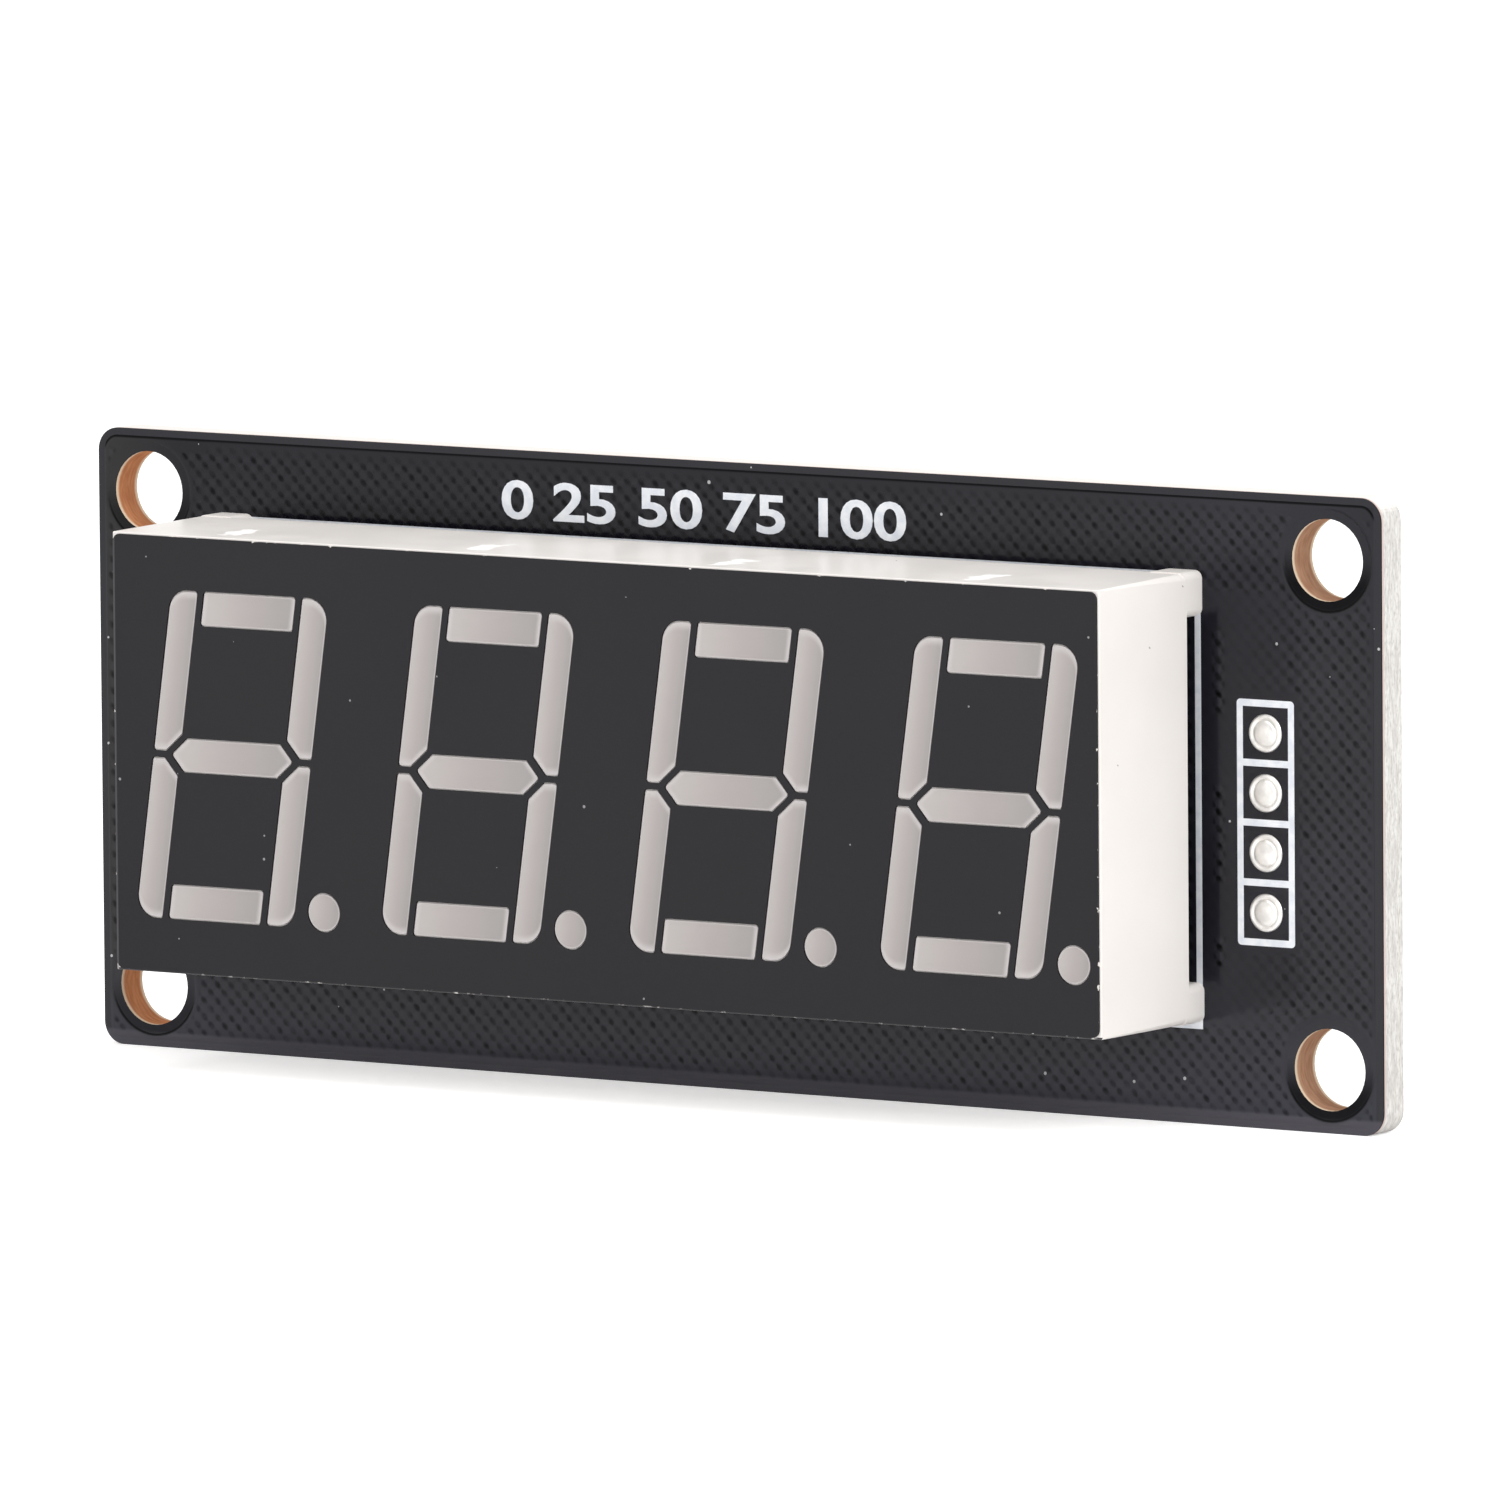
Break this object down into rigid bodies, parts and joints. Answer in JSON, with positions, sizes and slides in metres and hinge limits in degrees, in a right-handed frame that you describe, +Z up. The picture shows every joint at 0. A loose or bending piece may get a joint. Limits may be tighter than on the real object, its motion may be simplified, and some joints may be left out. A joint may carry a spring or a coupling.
{
  "type": "seven segment display module",
  "caption": "LED seven segment display of leaning digits in a black-faced white housing, soldered on a black circuit board with corner screw holes, a rear driver chip and a pin header",
  "frame": {"origin": "centre of the four screw holes, on the rear face of the circuit board", "axes": "+X to the right along the row of digits, +Z up the digits, -Y out of the display's face"},
  "size_m": [0.0654, 0.0182, 0.027],
  "materials": {
    "solder_mask": "black solder mask, semi-gloss, over glass laminate",
    "print_ink": "white screen-printed ink",
    "housing_plastic": "warm white moulded plastic, satin",
    "face_ink": "matt black face layer",
    "segment_resin": "milky cast resin, unlit",
    "led_die": "gold-backed semiconductor die",
    "led_board_laminate": "green laminate",
    "pour_resin": "cream poured resin",
    "tinned_wire": "tinned wire",
    "solder": "bright solder",
    "header_plastic": "black moulded plastic",
    "header_metal": "thin gold plate over brass",
    "chip_plastic": "black moulding compound",
    "lead_metal": "matt tin plate",
    "resistor_ceramic": "white ceramic with a black glaze on top",
    "capacitor_ceramic": "brown ceramic"
  },
  "bodies": {
    "root": {"circuit_board": "solder_mask", "front_print": "print_ink", "rear_print": "print_ink", "display_housing": "housing_plastic", "face_film": "face_ink", "digit_1_segment_a": "segment_resin", "digit_1_segment_b": "segment_resin", "digit_1_segment_c": "segment_resin", "digit_1_segment_d": "segment_resin", "digit_1_segment_e": "segment_resin", "digit_1_segment_f": "segment_resin", "digit_1_segment_g": "segment_resin", "digit_1_segment_point": "segment_resin", "digit_2_segment_a": "segment_resin", "digit_2_segment_b": "segment_resin", "digit_2_segment_c": "segment_resin", "digit_2_segment_d": "segment_resin", "digit_2_segment_e": "segment_resin", "digit_2_segment_f": "segment_resin", "digit_2_segment_g": "segment_resin", "digit_2_segment_point": "segment_resin", "digit_3_segment_a": "segment_resin", "digit_3_segment_b": "segment_resin", "digit_3_segment_c": "segment_resin", "digit_3_segment_d": "segment_resin", "digit_3_segment_e": "segment_resin", "digit_3_segment_f": "segment_resin", "digit_3_segment_g": "segment_resin", "digit_3_segment_point": "segment_resin", "digit_4_segment_a": "segment_resin", "digit_4_segment_b": "segment_resin", "digit_4_segment_c": "segment_resin", "digit_4_segment_d": "segment_resin", "digit_4_segment_e": "segment_resin", "digit_4_segment_f": "segment_resin", "digit_4_segment_g": "segment_resin", "digit_4_segment_point": "segment_resin", "digit_1_dice": "led_die", "digit_2_dice": "led_die", "digit_3_dice": "led_die", "digit_4_dice": "led_die", "led_board": "led_board_laminate", "back_resin": "pour_resin", "upper_display_pins": "tinned_wire", "lower_display_pins": "tinned_wire", "display_solder": "solder", "header_strip": "header_plastic", "header_pin_1": "header_metal", "header_pin_2": "header_metal", "header_pin_3": "header_metal", "header_pin_4": "header_metal", "header_solder": "solder", "driver_chip": "chip_plastic", "driver_leads": "lead_metal", "resistors": "resistor_ceramic", "capacitors": "capacitor_ceramic", "end_caps": "lead_metal", "chip_solder": "solder"}
  },
  "joints": []
}
